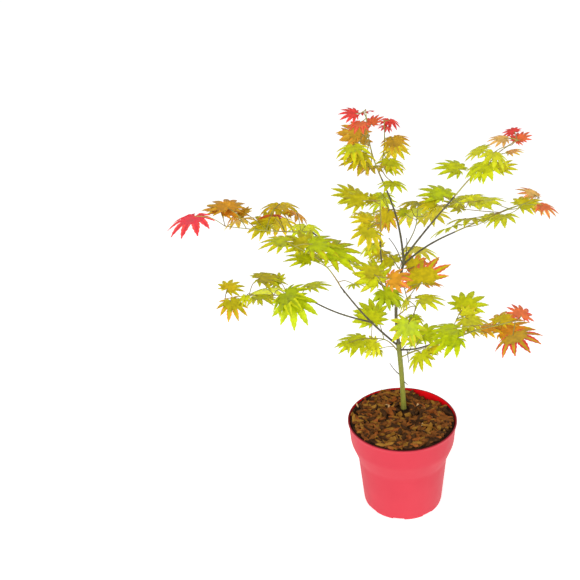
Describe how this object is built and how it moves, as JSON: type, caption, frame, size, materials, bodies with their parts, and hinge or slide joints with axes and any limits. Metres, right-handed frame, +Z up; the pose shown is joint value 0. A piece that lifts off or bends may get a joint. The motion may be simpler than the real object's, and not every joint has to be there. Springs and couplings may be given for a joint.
{
  "type": "potted japanese maple",
  "caption": "Young japanese maple in a round grower's pot: thin green trunk, spreading boughs and sprays of pointed, lobed leaves over bark mulch.",
  "frame": {"origin": "centre of the pot's flat underside, on the ground", "axes": "+Z up along the pot's axis, +X to the right and +Y to the back when the plant is seen from its front; the widest boughs run along X"},
  "size_m": [0.6465, 0.403, 0.7317],
  "materials": {
    "pot_plastic": "matte moulded",
    "bark_mulch": "rough chips",
    "trunk_bark": "smooth green bark",
    "bough_bark": "smooth dark bark",
    "leaf_green": "soft satin leaf",
    "leaf_olive": "soft satin leaf",
    "leaf_orange": "soft satin leaf",
    "leaf_red": "soft satin leaf"
  },
  "bodies": {
    "root": {"pot": "pot_plastic", "mulch": "bark_mulch", "trunk": "trunk_bark", "leader": "bough_bark", "leader_top": "bough_bark", "leader_left": "bough_bark", "bough_left_upper": "bough_bark", "bough_left_middle": "bough_bark", "bough_left_lower": "bough_bark", "bough_right_lower": "bough_bark", "bough_right_second": "bough_bark", "bough_right_top": "bough_bark", "leaves_left_tip": "leaf_orange", "leaves_left_middle": "leaf_green", "leaves_left_lower": "leaf_olive", "leaves_low_left": "leaf_green", "leaves_low_right": "leaf_green", "leaves_front": "leaf_green", "leaves_right_lower": "leaf_orange", "leaves_right_mid": "leaf_green", "leaves_inner_front": "leaf_olive", "leaves_inner_right": "leaf_orange", "leaves_inner_back": "leaf_olive", "leaves_centre_back": "leaf_green", "leaves_right_second": "leaf_olive", "leaves_right_low": "leaf_green", "leaves_right_top": "leaf_olive", "leaves_top_left": "leaf_red", "leaves_top_right": "leaf_olive", "leaves_mid_left": "leaf_olive", "leaves_mid_right": "leaf_green"}
  },
  "joints": []
}
